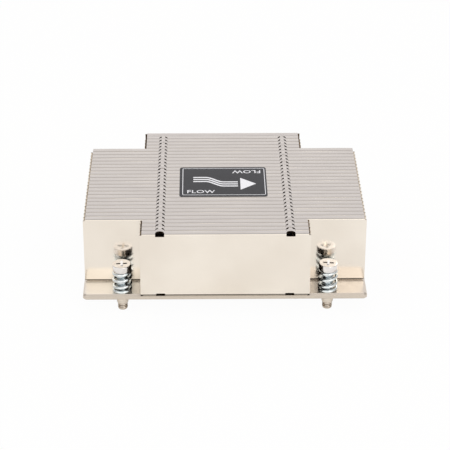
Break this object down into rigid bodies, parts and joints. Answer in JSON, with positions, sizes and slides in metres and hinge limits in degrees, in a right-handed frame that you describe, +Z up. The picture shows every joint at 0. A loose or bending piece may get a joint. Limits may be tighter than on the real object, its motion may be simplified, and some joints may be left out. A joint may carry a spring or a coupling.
{
  "type": "passive server CPU heatsink",
  "caption": "Low passive heatsink: folded sheet fins locked together on a flat base plate, held down by spring-loaded captive screws in the corner notches.",
  "frame": {"origin": "centre of the flat contact pad under the base plate", "axes": "+X along the fins, the way the air flows; +Y across the fin stack; +Z up from the contact face through the fins"},
  "size_m": [0.1104, 0.09, 0.0357],
  "materials": {
    "plated_plate": "satin nickel plate over copper",
    "plated_fin": "bright nickel plate over thin sheet",
    "plated_screw": "nickel plated, turned",
    "plated_collar": "nickel plated, turned",
    "zinc_spring": "bright zinc plated spring wire",
    "label": "matt printed film"
  },
  "bodies": {
    "root": {"base_plate": "plated_plate", "fin_01": "plated_fin", "fin_02": "plated_fin", "fin_03": "plated_fin", "fin_04": "plated_fin", "fin_05": "plated_fin", "fin_06": "plated_fin", "fin_07": "plated_fin", "fin_08": "plated_fin", "fin_09": "plated_fin", "fin_10": "plated_fin", "fin_11": "plated_fin", "fin_12": "plated_fin", "fin_13": "plated_fin", "fin_14": "plated_fin", "fin_15": "plated_fin", "fin_16": "plated_fin", "fin_17": "plated_fin", "fin_18": "plated_fin", "fin_19": "plated_fin", "fin_20": "plated_fin", "fin_21": "plated_fin", "fin_22": "plated_fin", "fin_23": "plated_fin", "fin_24": "plated_fin", "fin_25": "plated_fin", "fin_26": "plated_fin", "fin_27": "plated_fin", "fin_28": "plated_fin", "fin_29": "plated_fin", "fin_30": "plated_fin", "airflow_label": "label", "screw_spring_front_left": "zinc_spring", "screw_spring_front_right": "zinc_spring", "screw_spring_rear_left": "zinc_spring", "screw_spring_rear_right": "zinc_spring"},
    "collar_front_left": {"retaining_collar_front_left": "plated_collar"},
    "screw_front_left": {"captive_screw_front_left": "plated_screw"},
    "collar_front_right": {"retaining_collar_front_right": "plated_collar"},
    "screw_front_right": {"captive_screw_front_right": "plated_screw"},
    "collar_rear_left": {"retaining_collar_rear_left": "plated_collar"},
    "screw_rear_left": {"captive_screw_rear_left": "plated_screw"},
    "collar_rear_right": {"retaining_collar_rear_right": "plated_collar"},
    "screw_rear_right": {"captive_screw_rear_right": "plated_screw"}
  },
  "joints": [
    {"name": "press_front_left", "type": "slide", "parent": "root", "child": "collar_front_left", "axis": [0, 0, -1], "range_m": [0, 0.003], "stiffness_N_per_m": 12000, "springref_m": -0.0015, "deforming": ["screw_spring_front_left"]},
    {"name": "turn_front_left", "type": "hinge", "parent": "collar_front_left", "child": "screw_front_left", "pos_m": [-0.04, -0.04, 0], "axis": [0, 0, 1], "continuous": true},
    {"name": "press_front_right", "type": "slide", "parent": "root", "child": "collar_front_right", "axis": [0, 0, -1], "range_m": [0, 0.003], "stiffness_N_per_m": 12000, "springref_m": -0.0015, "deforming": ["screw_spring_front_right"]},
    {"name": "turn_front_right", "type": "hinge", "parent": "collar_front_right", "child": "screw_front_right", "pos_m": [0.04, -0.04, 0], "axis": [0, 0, 1], "continuous": true},
    {"name": "press_rear_left", "type": "slide", "parent": "root", "child": "collar_rear_left", "axis": [0, 0, -1], "range_m": [0, 0.003], "stiffness_N_per_m": 12000, "springref_m": -0.0015, "deforming": ["screw_spring_rear_left"]},
    {"name": "turn_rear_left", "type": "hinge", "parent": "collar_rear_left", "child": "screw_rear_left", "pos_m": [-0.04, 0.04, 0], "axis": [0, 0, 1], "continuous": true},
    {"name": "press_rear_right", "type": "slide", "parent": "root", "child": "collar_rear_right", "axis": [0, 0, -1], "range_m": [0, 0.003], "stiffness_N_per_m": 12000, "springref_m": -0.0015, "deforming": ["screw_spring_rear_right"]},
    {"name": "turn_rear_right", "type": "hinge", "parent": "collar_rear_right", "child": "screw_rear_right", "pos_m": [0.04, 0.04, 0], "axis": [0, 0, 1], "continuous": true}
  ]
}
